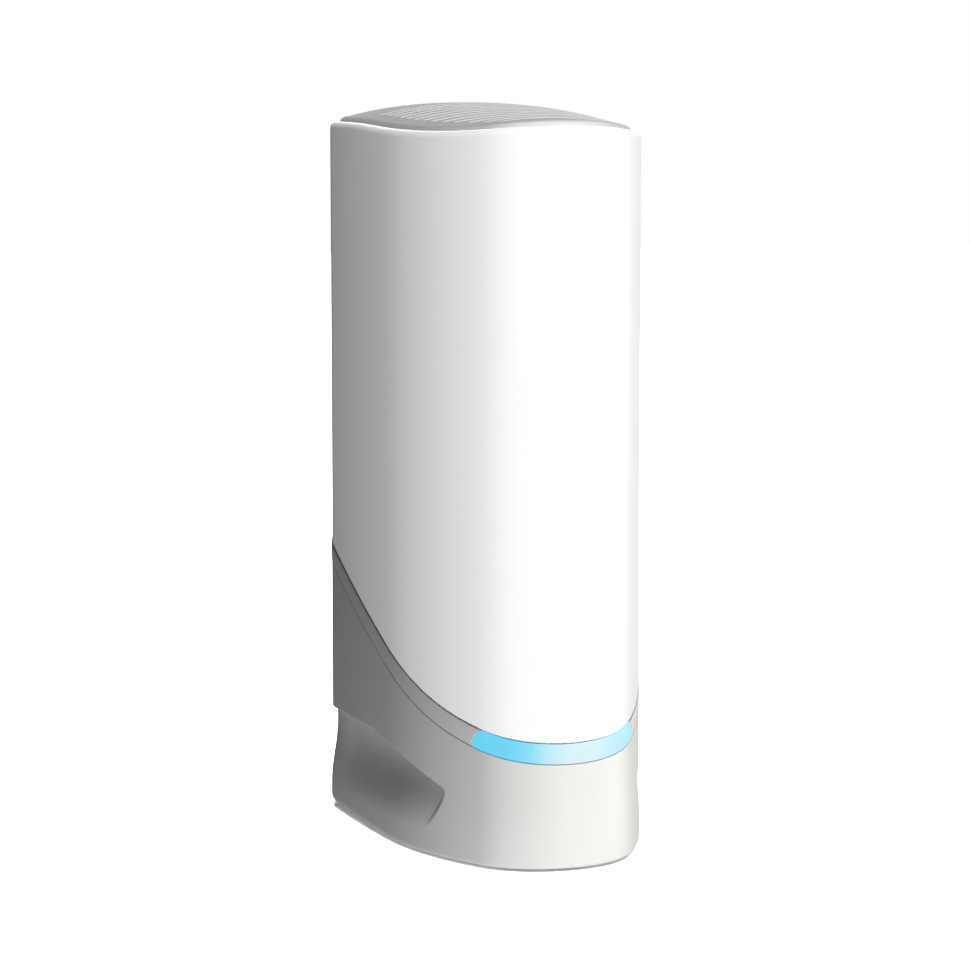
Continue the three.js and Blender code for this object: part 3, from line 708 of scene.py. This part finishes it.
def base_housing():
    """The base's skin from its underside up: the rounded foot, the recesses, their upper edge, the plain
    part above them, and then the trough for the cables."""
    loop = FINE
    y = loop[:, 1]
    t = behind_front(y)
    edge = cove_edge_z(t)
    top = band_z(y) - SEAM
    rounding = lerp(*FOOT_ROUNDING, smooth(t, 30, 100))
    rows = [ring(loop, -WALL - 1.4, FOOT_Z)]
    for angle in range(0, 91, 15):
        a = radians(angle)
        rows.append(ring(loop, -SKIN - rounding * (1 - sin(a)), FOOT_Z + rounding * (1 - cos(a))))
    for k in range(1, 6):
        rows.append(recessed(loop, lerp(FOOT_Z + rounding, COVE_FLOOR_Z, k / 5)))
    floor_row = len(rows) - 1
    wall_rows = 46
    for k in range(1, wall_rows + 1):
        rows.append(recessed(loop, lerp(np.full(len(loop), COVE_FLOOR_Z), edge - 0.9, k / wall_rows)))
    # The recesses' upper edge: hollow where it meets their wall, then rounded where it meets the face.
    for below, depth in ((0.45, -0.1), (0.2, -0.35), (0.08, -0.8)):
        rows.append(recessed(loop, edge - below, depth=depth))
    for below, depth in ((0.04, 0.9), (0.0, 0.45), (-0.08, 0.18), (-0.22, 0.04), (-0.4, 0.0), (-0.6, 0.0)):
        rows.append(recessed(loop, edge - below, depth=depth))
    window_row = len(rows) - 1
    for k in range(1, 15):
        rows.append(recessed(loop, lerp(edge + 0.6, top, k / 14), share=0.0))

    def keep(r, c):
        if r >= window_row:
            return not on_back(loop, c, WINDOW_HALF_WIDTH)
        return r < floor_row or not on_back(loop, c, BAY_HALF_WIDTH)

    obj = bare_object("base_shell", *grid(rows, keep=keep))
    tidy_mesh(obj)
    thicken(obj, WALL - 0.2)
    soften(obj, 0.25, angle=50)
    paint(obj, "grey_plastic")
    trough = cable_ramp()
    paint(trough, "grey_plastic")
    settle(joined("base_housing_shell", [obj, trough]), "grey_plastic", "base_housing")


def back_y(x):
    """The back's place at x from its middle."""
    half = footprint_half(1.2)
    back = half[half[:, 3] > 0.9][::-1]
    return float(np.interp(abs(x), back[:, 0], back[:, 1]))


def cable_ramp():
    """The trough at the bay's foot: a curved floor between two cheeks."""
    floor_y = BAY_FLOOR_Y
    start, bend, end = (floor_y, 22), (floor_y + 0.6, 9), (floor_y + 9, COVE_FLOOR_Z)
    steps = 16
    curve = [(floor_y, 30.9)]
    for k in range(steps + 1):
        s = k / steps
        a, b, c = (1 - s) ** 2, 2 * s * (1 - s), s * s
        curve.append([a * p + b * q + c * r for p, q, r in zip(start, bend, end)])
    half = BAY_HALF_WIDTH
    rim = back_y(half) - 0.5
    rows = []
    for y, z in curve:
        cheek_y = max(rim - 1.08 * smooth(z, COVE_FLOOR_Z, 26), y)
        middle_y = lerp(cheek_y, y, 0.5)
        across = [(half * (1 - k / 4), y, z) for k in range(9)]
        rows.append(np.array([(half, cheek_y, z), (half, middle_y, z)] + across
                             + [(-half, middle_y, z), (-half, cheek_y, z)]))
    obj = bare_object("cable_ramp", *grid(rows, closed=False))
    tidy_mesh(obj)
    thicken(obj, 1.4)
    soften(obj, 0.25, angle=50)
    return obj


# ------------------------------------------------------------------ crowned vent
def crest_z(y):
    """The crown's middle line, which rises towards the back."""
    t = np.clip((behind_front(y) - 12) / 88, 0, 1)
    return lerp(CREST_FRONT_Z, CREST_Z, np.sin(pi / 2 * t) ** 1.15)


class Dome:
    """Height of the vent over its plan, which is given by its border."""

    def __init__(self, loop):
        inset = VENT_INSET + VENT_BORDER
        half = loop[:len(loop) // 2 + 1]
        self.x = half[:, 0] - half[:, 2] * inset
        self.y = half[:, 1] - half[:, 3] * inset

    def height(self, x, y):
        x = np.abs(x)
        spine = float(np.clip(y, *VENT_SPINE))
        if y == spine:
            edge_x = np.interp(y, self.y, self.x)
            share = x / edge_x
            edge_y = np.full_like(x, y)
        else:
            # Beyond the spine's end, the crown falls away from that end in every direction.
            beyond = (self.y - spine) * (1 if y > spine else -1) > 0
            bearings = np.arctan2(self.x[beyond], np.abs(self.y[beyond] - spine))
            reach = np.hypot(self.x[beyond], self.y[beyond] - spine)
            order = np.argsort(bearings)
            bearing = np.arctan2(x, abs(y - spine))
            share = np.hypot(x, y - spine) / np.interp(bearing, bearings[order], reach[order])
            edge_y = np.interp(bearing, bearings[order], self.y[beyond][order])
        border = rim_z(edge_y) + VENT_BORDER_RISE
        return lerp(border, crest_z(spine), 1 - np.clip(share, 0, 1) ** 2.3) - SKIN


def vent_columns(slot_middles):
    """The right half of the footprint, with a column at each edge of a slot."""
    half = FINE[:len(FINE) // 2 + 1]
    inset_y = half[:, 1] - half[:, 3] * VENT_FIELD_INSET
    reach = VENT_SLOT_WIDTH / 2
    slot_edges = np.sort(np.concatenate([slot_middles - reach, slot_middles + reach]))
    apart = np.min(np.abs(inset_y[:, None] - slot_edges[None, :]), axis=1) > 0.2
    places = np.sort(np.concatenate([inset_y[apart], slot_edges]))
    return np.stack([np.interp(places, inset_y, half[:, k]) for k in range(4)], axis=1)


def vent_border(loop, dome):
    """Rings of points from the crown's field out and down over the rounded border."""
    rings = []
    for inset in (VENT_FIELD_INSET, *VENT_BORDER_INSETS):
        points = ring(loop, -inset, 0)
        if inset >= VENT_INSET + VENT_BORDER:
            points[:, 2] = [dome.height(np.array([x]), y)[0] for x, y, _ in points]
        else:
            share = (inset - VENT_INSET) / VENT_BORDER
            rise = VENT_BORDER_RISE * (1 - (1 - share) ** 2.6)
            points[:, 2] = rim_z(loop[:, 1]) + rise - SKIN
        rings.append(points)
    for below in (0.8, 1.5):
        rings.append(ring(loop, -VENT_INSET, rim_z(loop[:, 1]) - below))
    return rings


def top_vent():
    """The crown's field is rows of points from side to side with the slots left out, inside the border."""
    dome = Dome(FINE)
    slot_middles = np.linspace(*VENT_SLOTS_Y, VENT_SLOTS)
    columns = vent_columns(slot_middles)
    wide = np.flatnonzero(columns[:, 0] - columns[:, 2] * VENT_FIELD_INSET > VENT_TIP_HALF_WIDTH)
    first, last = wide[0], wide[-1]
    field = ring(columns[first:last + 1], -VENT_FIELD_INSET, 0)
    spread = np.linspace(-1, 1, 37)
    rows = []
    for x, y, _ in field:
        xs = x * spread
        rows.append(np.stack([xs, np.full_like(xs, y), dome.height(xs, y)], axis=1))
    middles = (field[1:, 1] + field[:-1, 1]) / 2
    in_slot = np.min(np.abs(middles[:, None] - slot_middles[None, :]), axis=1) < VENT_SLOT_WIDTH / 2
    crown, crown_faces = grid(rows, closed=False, keep=lambda r, c: not in_slot[r])

    border_loop = np.vstack([columns, columns[-2:0:-1] * (-1, 1, -1, 1)])
    border, border_faces = grid(vent_border(border_loop, dome)[::-1])
    shift = len(crown)
    faces = crown_faces + [tuple(i + shift for i in face) for face in border_faces]
    # The tips in front of the first row and behind the last one are closed by one face each.
    around = len(border_loop)
    innermost = shift + len(border) - around
    inside = range(1, len(spread) - 1)
    front_arc = [innermost + i % around for i in range(-first, first + 1)]
    back_arc = [innermost + i for i in range(last, around - last + 1)]
    faces.append(tuple(front_arc + list(inside)[::-1]))
    faces.append(tuple(back_arc + [shift - len(spread) + i for i in inside]))
    obj = bare_object("vent_crown", np.vstack([crown, border]), faces)
    tidy_mesh(obj, merge=0.02)
    thicken(obj, VENT_SKIN)
    soften(obj, 0.22, angle=40)
    settle(obj, "vent_plastic", "top_vent")


# ------------------------------------------------------------------ back cover
def rear_cover():
    """The cover's skin with its slots, the connector bay's walls and the panel with the connectors' holes."""
    half = footprint_half(1.2)
    half = half[(half[:, 3] > 0.9) & (half[:, 0] < COVER_HALF_WIDTH)]
    line = np.vstack([half, half[-2::-1] * (-1, 1, -1, 1)])
    low, high = COVER_Z
    starts = [REAR_SLOTS_Z + i * REAR_SLOT_PITCH for i in range(REAR_SLOTS)]
    slot_zs = [(start, start + REAR_SLOT_WIDTH) for start in starts]
    levels = [low, 60, 90, BAY_TOP_Z, 138]
    for a, b in slot_zs:
        levels += [a, b]
    levels += [190.5, high]
    rows = [ring(line, -SLEEVE_INSET - SKIN, z) for z in levels]
    middles = (line[1:, 0] + line[:-1, 0]) / 2

    def keep(r, c):
        level = (levels[r] + levels[r + 1]) / 2
        in_bay = level < BAY_TOP_Z and abs(middles[c]) < BAY_HALF_WIDTH
        in_slot = any(a < level < b for a, b in slot_zs) and abs(middles[c]) < REAR_SLOT_HALF_LENGTH
        return not (in_bay or in_slot)

    skin = bare_object("cover_skin", *grid(rows, closed=False, keep=keep))
    tidy_mesh(skin)
    thicken(skin, WALL - 0.2)
    soften(skin, 0.25)

    rim_y = back_y(BAY_HALF_WIDTH) - SLEEVE_INSET - 0.4
    w = BAY_HALF_WIDTH
    path = [(w, low)] + [(w, lerp(low, BAY_TOP_Z, k / 3)) for k in (1, 2, 3)]
    path += [(lerp(w, -w, k / 4), BAY_TOP_Z) for k in (1, 2, 3)]
    path += [(-w, BAY_TOP_Z)] + [(-w, lerp(BAY_TOP_Z, low, k / 3)) for k in (1, 2, 3)]
    depths = (rim_y, lerp(rim_y, BAY_FLOOR_Y, 0.5), BAY_FLOOR_Y)
    rows = [np.array([(x, y, z) for x, z in path]) for y in depths]
    walls = bare_object("bay_walls", *grid(rows, closed=False))
    thicken(walls, 1.4)
    soften(walls, 0.2)

    holes = [rectangle(-7, 7, z - 8.3, z + 8.3, 0.4) for z in (PORT_Z["ethernet_1"], PORT_Z["ethernet_2"])]
    holes += [circle(0, PORT_Z["coax"], 5.1), circle(0, PORT_Z["power"], 4.2)]
    holes.append(circle(RESET_X, PORT_Z["reset"], 1.6))
    outlines = [rectangle(-w, w, low, BAY_TOP_Z)[::-1]] + [[(-a, b) for a, b in hole] for hole in holes]
    panel = plate("bay_panel", outlines, (0, BAY_FLOOR_Y, 0), *FACING_BACK, WALL)
    for part in (skin, walls, panel):
        paint(part, "grey_plastic")
    settle(joined("rear_cover_shell", [skin, walls, panel]), "grey_plastic", "rear_cover")


# ------------------------------------------------------------------ connectors
# The profiles of turned pieces give a radius and a place along Y, both from the modem's frame.
def thread(start, end, radius, pitch=0.79, depth=0.35):
    """The crests and roots of a thread as rings, from start to end."""
    points = []
    count = int((end - start) / pitch)
    for i in range(count):
        at = start + i * pitch
        points += [(radius - depth, at + 0.1), (radius, at + pitch * 0.45), (radius, at + pitch * 0.55),
                   (radius - depth, at + pitch * 0.9)]
    return points


def coax_connector():
    """A threaded barrel with its core, washer and nut."""
    z = PORT_Z["coax"]
    tip = 57.9
    barrel = [(5.9, 36), (5.9, 40), (4.7, 40.2)] + thread(BAY_FLOOR_Y, tip - 0.7, 4.7)
    barrel += [(4.35, tip - 0.4), (4.1, tip), (3.45, tip), (3.3, tip - 0.2)]
    barrel += [(3.3, 44), (0.05, 44), (0.05, 36)]
    settle(turned("coax_barrel", barrel, (0, 0, z)), "nickel", "coax_connector")
    core = [(0.6, 44.3), (3.1, 44.3), (3.1, tip - 1.5), (2.9, tip - 1.3), (0.9, tip - 1.3), (0.6, tip - 1.7)]
    settle(turned("coax_core", core, (0, 0, z)), "lamp_white", "coax_insulator")
    washer = [(4.95, 48.6), (7.1, 48.6), (7.2, 48.75), (7.2, 49.15), (7.1, 49.3), (4.95, 49.3)]
    settle(turned("coax_washer_ring", washer, (0, 0, z)), "steel", "coax_washer")
    hexagon = [(6.25 * cos(pi / 3 * i), z + 6.25 * sin(pi / 3 * i)) for i in range(6)]
    nut = plate("coax_nut_hex", [hexagon, circle(0, z, 4.95)], (0, 51.7, 0), *FACING_BACK, 2.3, 0.25)
    settle(nut, "nickel", "coax_nut")


def ethernet_jack(number):
    """A shielded socket: a folded nickel can round a black insert with the stepped plug opening."""
    z = PORT_Z[f"ethernet_{number}"]
    face = 48.9
    opening = [
        (-4.2, -5.9), (2.6, -5.9), (2.6, -3.1), (4.2, -3.1), (4.2, -1.7), (5.4, -1.7),
        (5.4, 1.7), (4.2, 1.7), (4.2, 3.1), (2.6, 3.1), (2.6, 5.9), (-4.2, 5.9)]
    hole = [(-a, z + b) for a, b in opening]
    outer = rectangle(-6.2, 6.2, z - 7.6, z + 7.6, 0.3)
    insert = plate(f"jack_insert_{number}", [outer, hole], (0, face - 0.35, 0), *FACING_BACK, 12.4, 0.12)
    back = plate(f"jack_back_{number}", [outer], (0, face - 13.0, 0), *FACING_BACK, 7.8, 0.12)
    can_outside = rectangle(-6.6, 6.6, z - 8, z + 8, 0.5)
    can_inside = rectangle(-6.22, 6.22, z - 7.62, z + 7.62, 0.3)
    can = plate(
        f"jack_can_{number}", [can_outside, can_inside], (0, face, 0), *FACING_BACK, 20.9, 0.1)
    for part in (insert, back):
        paint(part, "black_plastic")
    settle(joined(f"ethernet_insert_{number}", [insert, back]), "black_plastic")
    settle(can, "nickel", f"ethernet_jack_{number}")


def power_jack():
    """A block behind the panel, a collar in the panel's hole and a pin inside the collar."""
    z = PORT_Z["power"]
    body = [rectangle(-5, 6.5, z - 4.5, z + 4.5, 0.5)]
    block = plate("power_block", body, (0, 46.2, 0), *FACING_BACK, 11.7, 0.2)
    collar_outlines = [circle(0, z, 3.9), circle(0, z, 2.8)]
    collar = plate("power_collar", collar_outlines, (0, 48.98, 0), *FACING_BACK, 2.9)
    for part in (block, collar):
        paint(part, "black_plastic")
    settle(joined("power_jack_body", [block, collar]), "black_plastic", "power_jack")
    pin = [(0.02, 44), (1.0, 44), (1.0, 47.4), (0.8, 47.8), (0.4, 48), (0.02, 48)]
    settle(turned("power_pin_round", pin, (0, 0, z), sides=32), "nickel", "power_pin")


def reset_button():
    """A collared pin, which rides on its own body."""
    stem = [(0.02, 36.8), (1.25, 36.8), (1.25, 44.6), (2.2, 44.6), (2.3, 44.8), (2.3, 45.6), (2.2, 45.8),
            (1.25, 45.8), (1.25, 47.6), (1.1, 47.9), (0.7, 48), (0.02, 47.95)]
    obj = turned("reset_plunger", stem, (RESET_X, 0, PORT_Z["reset"]), sides=32)
    settle(obj, "button_plastic", "reset_button", body="reset_button")


# ------------------------------------------------------------------ underside
def middle_of(node):
    """The middle of a CAD node's box in plan."""
    low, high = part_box(node)
    return (low[0] + high[0]) / 2 / MM, (low[1] + high[1]) / 2 / MM


def underside():
    """Rubber feet with a groove, and screws with a cross recess, where the CAD has them."""
    for side in ("front_left", "front_right", "rear_left", "rear_right"):
        x, y = middle_of(f"foot_pad_{side}")
        pad = [(0.02, 0.05), (3.6, 0.05), (3.8, 0.3), (4.2, 0.3), (4.4, 0.02), (5.6, 0.02), (5.95, 0.35),
               (5.98, 0.9), (5.9, 1.3), (0.02, 1.3)]
        settle(turned(f"pad_{side}", pad, (x, y, 0), (0, 0, 1)), "rubber", f"foot_pad_{side}")
        x, y = middle_of(f"base_screw_{side}")
        arm, reach = 0.35, 1.6
        cross = [(arm, arm), (arm, reach), (-arm, reach), (-arm, arm), (-reach, arm), (-reach, -arm),
                 (-arm, -arm), (-arm, -reach), (arm, -reach), (arm, -arm), (reach, -arm), (reach, arm)]
        head = plate(
            f"screw_head_{side}", [circle(0, 0, 2.95), cross], (x, y, 1.6), (1, 0, 0), (0, -1, 0), 1.1, 0.25)
        body = [(0.02, 2.2), (2.7, 2.2), (2.7, 2.8), (1.4, 2.8), (1.4, 9.9), (1.1, 10.5), (0.02, 10.5)]
        shank = turned(f"screw_shank_{side}", body, (x, y, 0), (0, 0, 1), 32)
        for part in (head, shank):
            paint(part, "steel")
        settle(joined(f"screw_{side}", [head, shank]), "steel", f"base_screw_{side}")


# ------------------------------------------------------------------ kept CAD nodes
def dress_cad_nodes(replaced):
    """The nodes that stay get their slot's look and softened edges."""
    slots = {part["node"]: part["material_slot"] for part in frame["record"]["subparts"]}
    for name, obj in frame["nodes"].items():
        if name in replaced:
            continue
        for i in range(len(obj.material_slots)):
            obj.material_slots[i].material = LOOKS[slots[name]]
        bevel = obj.modifiers.new("edges", "BEVEL")
        bevel.width = 0.12 * MM
        bevel.segments = 1
        bevel.limit_method = "ANGLE"
        bevel.angle_limit = radians(50)


# ------------------------------------------------------------------ stage
def stage():
    """A pale floor just under the feet, which neither throws light back at the modem nor shades it."""
    half = 4.0
    corners = [(-half, -half, 0), (half, -half, 0), (half, half, 0), (-half, half, 0)]
    mesh = bpy.data.meshes.new("floor")
    mesh.from_pydata(corners, [], [(0, 1, 2, 3)])
    floor = bpy.data.objects.new("floor", mesh)
    bpy.context.scene.collection.objects.link(floor)
    n = Nodes("floor_paper")
    n.link(n.ramp(n.noise(3, 3), (0.3, (0.90, 0.90, 0.90)), (0.7, (0.92, 0.92, 0.92))),
           n.shader.inputs["Base Color"])
    n.set(Roughness=0.9, Specular_IOR_Level=0.1)
    mesh.materials.append(n.material)
    floor.location.z = -0.2 * MM
    floor.visible_diffuse = False
    floor.visible_glossy = False
    floor.visible_shadow = False
    return floor


def outward(azimuth, elevation):
    """Away from the modem, in degrees: azimuth 0 is its front and 90 its right side."""
    azimuth, elevation = radians(azimuth), radians(elevation)
    return Vector((sin(azimuth) * cos(elevation), -cos(azimuth) * cos(elevation), sin(elevation)))


def area_light(name, azimuth, elevation, distance, size, power, colour=(1, 1, 1)):
    """A rectangle of light aimed at the modem's middle."""
    away = outward(azimuth, elevation)
    data = bpy.data.lights.new(name, "AREA")
    data.shape = "RECTANGLE"
    data.size, data.size_y = size
    data.energy = power
    data.color = colour
    light = bpy.data.objects.new(name, data)
    light.location = Vector((0, 0, 110)) * MM + away * distance
    light.rotation_euler = (-away).to_track_quat("-Z", "Y").to_euler()
    bpy.context.scene.collection.objects.link(light)
    return light


def link_light(light, objects, state="INCLUDE"):
    """The light falls only on these objects, or with EXCLUDE on all but these."""
    group = bpy.data.collections.new(f"{light.name}_linked")
    for obj in objects:
        group.objects.link(obj)
    for entry in group.collection_objects:
        entry.light_linking.link_state = state
    light.light_linking.receiver_collection = group


def lights(floor):
    """Soft boxes and strips. Some fall only on the grey pieces or only on the vent, and the others leave
    out one or both of them, so that each shade is set by itself. The floor has a sun of its own."""
    objects = bpy.data.objects
    grey = [objects["base_housing_shell"], objects["trim_band_strip"]]
    vent = [objects["vent_crown"]]
    far = 1.75
    near = 0.3
    softbox = (0.8, 1.2)
    strip = (0.1, 1.5)
    cool = (0.95, 0.98, 1.0)
    link_light(area_light("right", 78, 3, far, (1.5, 1.2), 31), vent, "EXCLUDE")
    link_light(area_light("front_right", 31, 3, far, softbox, 9.5), vent, "EXCLUDE")
    link_light(area_light("front_left", -40, 0, near, strip, 1.27, cool), grey + vent, "EXCLUDE")
    link_light(area_light("front", -24, 0, near, strip, 1.12), grey + vent, "EXCLUDE")
    link_light(area_light("above", 20, 82, far, softbox, 16), grey + vent, "EXCLUDE")
    link_light(area_light("base_left", -45, -45, 0.45, (0.25, 0.25), 1.3, (0.92, 0.97, 1.0)), grey)
    link_light(area_light("base_front", 8, 0, 0.55, (0.16, 1.5), 4.9), grey)
    link_light(area_light("base_right", 50, 3, far, softbox, 3), grey)
    link_light(area_light("vent_key", 20, 26, far, softbox, 18), vent)
    link_light(area_light("vent_front", 5, 4, far, softbox, 48), vent)
    link_light(area_light("vent_left", -60, 40, far, softbox, 10), vent)
    card = area_light("vent_back", 163, 14, 1.2, (1.2, 0.7), 4)
    link_light(card, vent)
    card.visible_camera = False
    link_light(area_light("back", 165, 25, far, softbox, 16), vent, "EXCLUDE")
    data = bpy.data.lights.new("floor_light", "SUN")
    data.energy = 9
    data.angle = radians(60)
    sun = objects.new("floor_light", data)
    sun.rotation_euler = (radians(12), radians(10), 0)
    bpy.context.scene.collection.objects.link(sun)
    link_light(sun, [floor])


def surroundings():
    """A white background to look at, of which the modem itself feels only a little."""
    world = bpy.data.worlds.new("studio")
    bpy.context.scene.world = world
    world.use_nodes = True
    tree = world.node_tree
    seen = tree.nodes["Background"]
    seen.inputs["Color"].default_value = (1, 1, 1, 1)
    seen.inputs["Strength"].default_value = 1.0
    felt = tree.nodes.new("ShaderNodeBackground")
    felt.inputs["Color"].default_value = (0.93, 0.96, 1.0, 1)
    felt.inputs["Strength"].default_value = 0.02
    path = tree.nodes.new("ShaderNodeLightPath")
    mix = tree.nodes.new("ShaderNodeMixShader")
    tree.links.new(path.outputs["Is Camera Ray"], mix.inputs["Fac"])
    tree.links.new(felt.outputs["Background"], mix.inputs[1])
    tree.links.new(seen.outputs["Background"], mix.inputs[2])
    tree.links.new(mix.outputs["Shader"], tree.nodes["World Output"].inputs["Surface"])


def camera():
    """Seen from the front left, level with the rim."""
    away = outward(-17.31, 6.5)
    distance = 0.9267
    target = Vector((-5.99, 0, 101.13)) * MM
    data = bpy.data.cameras.new("camera")
    data.sensor_width = 36
    data.lens = 118.64
    data.clip_start = 0.01
    data.clip_end = 100
    obj = bpy.data.objects.new("camera", data)
    obj.location = target + away * distance
    obj.rotation_euler = (-away).to_track_quat("-Z", "Y").to_euler()
    bpy.context.scene.collection.objects.link(obj)
    bpy.context.scene.camera = obj


# ------------------------------------------------------------------ the modem
camera()
sleeve()
trim_band()
light_lens()
base_housing()
top_vent()
rear_cover()
coax_connector()
for jack_number in (1, 2):
    ethernet_jack(jack_number)
power_jack()
reset_button()
underside()
REPLACED = {
    "front_shell", "trim_band", "light_lens", "base_housing", "top_vent", "rear_cover", "coax_connector",
    "coax_insulator", "coax_washer", "coax_nut", "ethernet_jack_1", "ethernet_jack_2", "power_jack",
    "power_pin", "reset_button",
}
REPLACED |= {name for name in frame["nodes"] if name.startswith(("foot_pad", "base_screw"))}
dress_cad_nodes(REPLACED)
lights(stage())
surroundings()
bpy.context.scene.view_settings.view_transform = "Standard"
